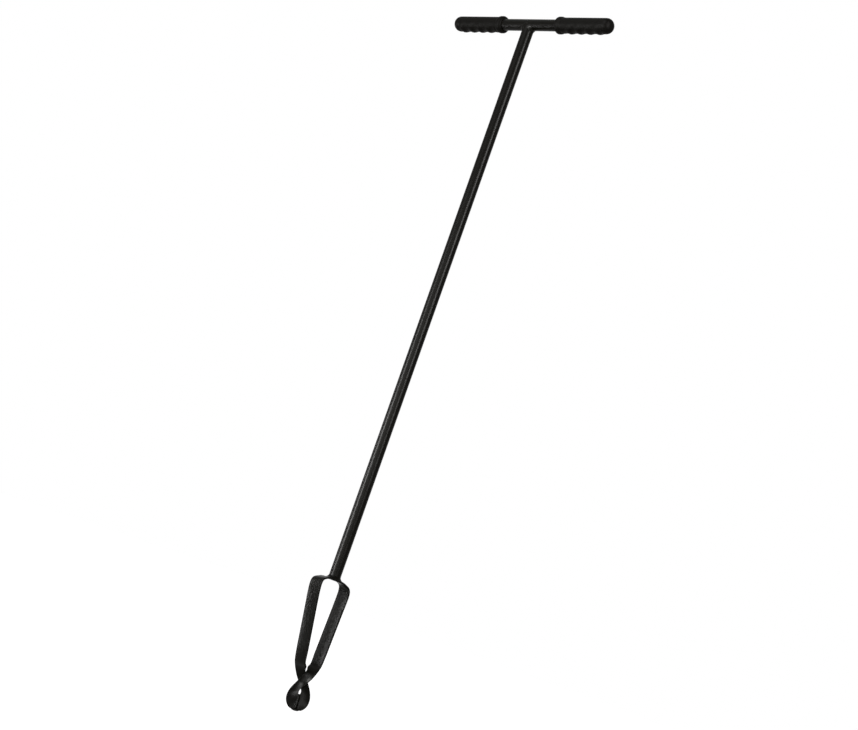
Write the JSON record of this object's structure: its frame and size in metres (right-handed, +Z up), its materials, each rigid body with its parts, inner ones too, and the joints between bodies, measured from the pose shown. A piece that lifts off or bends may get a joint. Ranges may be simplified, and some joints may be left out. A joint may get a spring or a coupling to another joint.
{
  "type": "soil auger",
  "caption": "Hand soil auger: T handle with grips on a long tube shaft, and a narrow bow of flat bar whose blades cross and end in a rounded point.",
  "frame": {"origin": "on the shaft's axis at the height of the point's lowest place, under the welded joint of the T handle, whose middle lies 3.5 mm off the axis", "axes": "+Z up the shaft towards the T handle, X along the T handle's crossbar with +X towards the right grip, and Y across it in the plane of the bow"},
  "size_m": [0.365, 0.07, 1.2305],
  "materials": {
    "paint": "semi-gloss black paint",
    "rubber": "satin black moulded rubber"
  },
  "bodies": {
    "root": {"crossbar": "paint", "left_grip": "rubber", "right_grip": "rubber", "handle_weld": "paint", "shaft": "paint", "head_weld": "paint", "bow": "paint", "right_blade_weld": "paint", "left_blade_weld": "paint", "right_blade": "paint", "left_blade": "paint", "tip_weld": "paint"}
  },
  "joints": []
}
